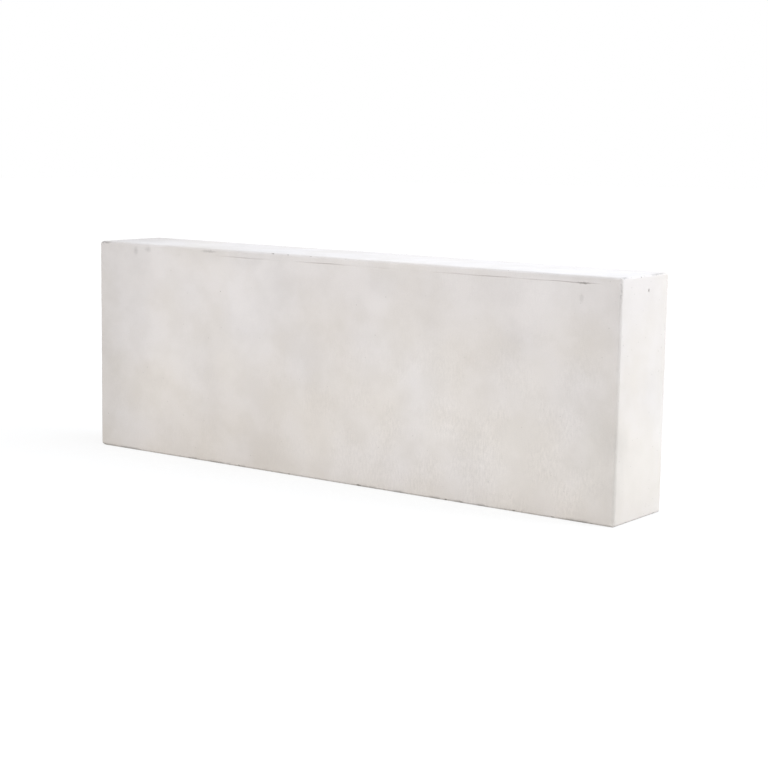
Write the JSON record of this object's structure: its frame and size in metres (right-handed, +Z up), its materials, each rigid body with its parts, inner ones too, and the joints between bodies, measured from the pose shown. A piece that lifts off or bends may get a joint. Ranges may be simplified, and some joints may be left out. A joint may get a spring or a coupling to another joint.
{
  "type": "concrete block step",
  "caption": "Solid cast concrete step: a long flat-sided block with lightly rounded arrises and a fine casting line along the tread's front edge.",
  "frame": {"origin": "middle of the face that the block stands on, the back face of the step, at floor level", "axes": "+X along the step from its left end to its right end, seen from the tread; -Y out of the tread, +Y out of the bed; +Z up, out of the riser"},
  "size_m": [1, 0.14, 0.35],
  "materials": {
    "concrete": "matt cast concrete, pale warm grey, faintly clouded, with fine pores"
  },
  "bodies": {
    "root": {"step_block": "concrete"}
  },
  "joints": []
}
